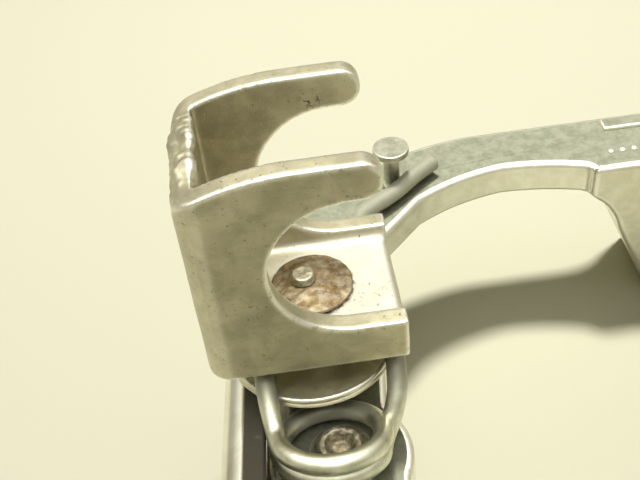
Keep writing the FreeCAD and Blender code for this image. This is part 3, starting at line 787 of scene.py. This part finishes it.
def finish_tree(tree, geometry, material, output):
    """Real faces, a worn attribute and a material end every tree."""
    real = geo(tree, "GeometryNodeRealizeInstances", {0: geometry})
    inputs = {"Geometry": real, "Name": "worn", "Value": MARK_WORN}
    worn = geo(tree, "GeometryNodeStoreNamedAttribute", inputs, data_type="FLOAT", domain="POINT")
    painted = geo(tree, "GeometryNodeSetMaterial", {0: worn, "Material": material})
    tree.links.new(painted, output.inputs[0])


def made_by(tree, name, values, body):
    """Run a tree with these values for its inputs, and keep its plain mesh."""
    item = show(bpy.data.objects.new(name, bpy.data.meshes.new(name + "_seed")))
    run = item.modifiers.new("tree", "NODES")
    run.node_group = tree
    for socket in tree.interface.items_tree:
        if socket.in_out == "INPUT":
            run[socket.identifier] = values[socket.name]
    mesh = finished_mesh(item)
    mesh.shade_smooth()
    mesh.set_sharp_from_angle(angle=MARK_CREASE)
    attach(item, body)
    print(name, len(mesh.polygons), "faces")


# %% [markdown]
# ## Raised marks on the casting
# A mould leaves a raised pad and a row of small domes on the arch. The pad is one bevelled box. The domes
# are a line of points with a flattened ball on each.

# %% A row of low domes
ARCH_TOP = 20.5
DOME_START = Vector((37.2, 21.2, ARCH_TOP))
DOME_SPACING = 1.35
DOME_COUNT = 8
DOME_RADIUS = 0.42
DOME_FLATNESS = 0.7


def dome_row_tree():
    """Domes in a row along +X."""
    tree, size, output = node_group("dome_row", [
        ("Start", "Vector"), ("Spacing", "Float"), ("Count", "Int"), ("Radius", "Float"),
        ("Flatness", "Float"), ("Material", "Material")])
    offset = geo(tree, "ShaderNodeCombineXYZ", {0: size["Spacing"]})
    line = geo(tree, "GeometryNodeMeshLine",
               {"Count": size["Count"], "Start Location": size["Start"], "Offset": offset})
    ball = geo(tree, "GeometryNodeMeshUVSphere", {"Segments": 16, "Rings": 8, "Radius": size["Radius"]})
    flat = geo(tree, "ShaderNodeCombineXYZ", {0: 1.0, 1: 1.0, 2: size["Flatness"]})
    domes = geo(tree, "GeometryNodeInstanceOnPoints", {"Points": line, "Instance": ball, "Scale": flat})
    finish_tree(tree, domes, size["Material"], output)
    return tree


made_by(dome_row_tree(), "casting_domes",
        {"Start": DOME_START * MM, "Spacing": DOME_SPACING * MM, "Count": DOME_COUNT,
         "Radius": DOME_RADIUS * MM, "Flatness": DOME_FLATNESS, "Material": bow_casting}, "bow")

# %% The raised pad
PAD_LOW = Vector((37.6, 25.1, ARCH_TOP - 0.3))
PAD_HIGH = Vector((52.0, 27.2, ARCH_TOP + 0.4))
PAD_ROUND = 0.3
PAD_SEGMENTS = 4


def make_pad():
    """A box between two corners, sunk a little into the arch, with rounded edges."""
    form = bmesh.new()
    bmesh.ops.create_cube(form, size=1.0)
    for vert in form.verts:
        vert.co = Vector([PAD_LOW[i] if vert.co[i] < 0 else PAD_HIGH[i] for i in range(3)]) * MM
    mesh = bpy.data.meshes.new("casting_pad")
    form.to_mesh(mesh)
    form.free()
    item = show(bpy.data.objects.new("casting_pad", mesh))
    rounded(item, PAD_ROUND, bow_casting, PAD_SEGMENTS)
    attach(item, "bow")
    print("pad", len(item.data.polygons), "faces")


make_pad()

# %% [markdown]
# ## Teeth on the jaw plate
# The facing is cut into small pyramids that bite the work. A grid of points has a four-sided cone on
# each, and the points near the two screw heads are left out. The grid lies flat and is then turned to
# face the fork.

# %% Jaw teeth
TOOTH_DEPTH = 0.45
TOOTH_RADIUS = 0.72
TOOTH_TIP = 0.08
TEETH_WIDE, TEETH_HIGH = 12.6, 18.2
TEETH_ACROSS, TEETH_UP = 12, 17
SCREW_GAP = 0.5


def tooth_tree():
    """A grid of four-sided teeth that point to -X, with two round gaps for screw heads."""
    tree, size, output = node_group("jaw_teeth", [
        ("Centre", "Vector"), ("Width", "Float"), ("Height", "Float"), ("Across", "Int"), ("Up", "Int"),
        ("Radius", "Float"), ("Depth", "Float"), ("Screw Offset", "Float"), ("Screw Clear", "Float"),
        ("Material", "Material")])
    grid = geo(tree, "GeometryNodeMeshGrid", {"Size X": size["Height"], "Size Y": size["Width"],
                                              "Vertices X": size["Up"], "Vertices Y": size["Across"]})
    split = tree.nodes.new("ShaderNodeSeparateXYZ")
    tree.links.new(geo(tree, "GeometryNodeInputPosition"), split.inputs[0])
    up = geo(tree, "ShaderNodeMath", {0: split.outputs["X"]}, operation="ABSOLUTE")
    from_screw = geo(tree, "ShaderNodeMath", {0: up, 1: size["Screw Offset"]}, operation="SUBTRACT")
    flat = geo(tree, "ShaderNodeCombineXYZ", {0: from_screw, 1: split.outputs["Y"]})
    far = geo(tree, "ShaderNodeVectorMath", {0: flat}, output="Value", operation="LENGTH")
    clear = geo(tree, "ShaderNodeMath", {0: far, 1: size["Screw Clear"]}, operation="GREATER_THAN")
    tooth = geo(tree, "GeometryNodeMeshCone", {"Vertices": 4, "Radius Bottom": size["Radius"],
                                               "Radius Top": TOOTH_TIP * MM, "Depth": size["Depth"]})
    inputs = {"Points": grid, "Selection": clear, "Instance": tooth, "Rotation": (0, 0, math.radians(45))}
    teeth = geo(tree, "GeometryNodeInstanceOnPoints", inputs)
    turned_teeth = geo(tree, "GeometryNodeTransform", {"Geometry": teeth, "Translation": size["Centre"],
                                                       "Rotation": (0, math.radians(-90), 0)})
    finish_tree(tree, turned_teeth, size["Material"], output)
    return tree


def make_teeth():
    screw_low, screw_high = box_of("jaw_screws")
    screw_head = (screw_high.y - screw_low.y) / 2
    screw_offset = (screw_high.z - screw_low.z) / 2 - screw_head
    centre = Vector((box_of("jaw_plate")[0].x, 0, middle("jaw_plate").z))
    made_by(tooth_tree(), "jaw_teeth",
            {"Centre": centre * MM, "Width": TEETH_WIDE * MM, "Height": TEETH_HIGH * MM,
             "Across": TEETH_ACROSS, "Up": TEETH_UP, "Radius": TOOTH_RADIUS * MM, "Depth": TOOTH_DEPTH * MM,
             "Screw Offset": screw_offset * MM, "Screw Clear": (screw_head + SCREW_GAP) * MM,
             "Material": plate_steel}, "bow")


make_teeth()

# %% [markdown]
# ## The torsion spring
# In the real clamp the spring's left leg goes with the lever and its right leg with the bow, and the coil
# winds up between them, and both turn about one pivot. Here the wire is one welded copy of the CAD mesh,
# which hides the node. It is attached to neither body, so it doesn't bend when they turn.

# %% The spring
WIRE_CREASE = math.radians(50)


def make_spring():
    form = bmesh.new()
    form.from_mesh(nodes["torsion_spring"].data)
    bmesh.ops.remove_doubles(form, verts=form.verts, dist=WELD)
    mesh = bpy.data.meshes.new("spring_wire")
    form.to_mesh(mesh)
    form.free()
    mesh.materials.clear()
    mesh.materials.append(wire_steel)
    mesh.shade_smooth()
    mesh.set_sharp_from_angle(angle=WIRE_CREASE)
    item = show(bpy.data.objects.new("spring_wire", mesh))
    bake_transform(item)
    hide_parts("torsion_spring")
    print("spring", len(mesh.polygons), "faces")


make_spring()
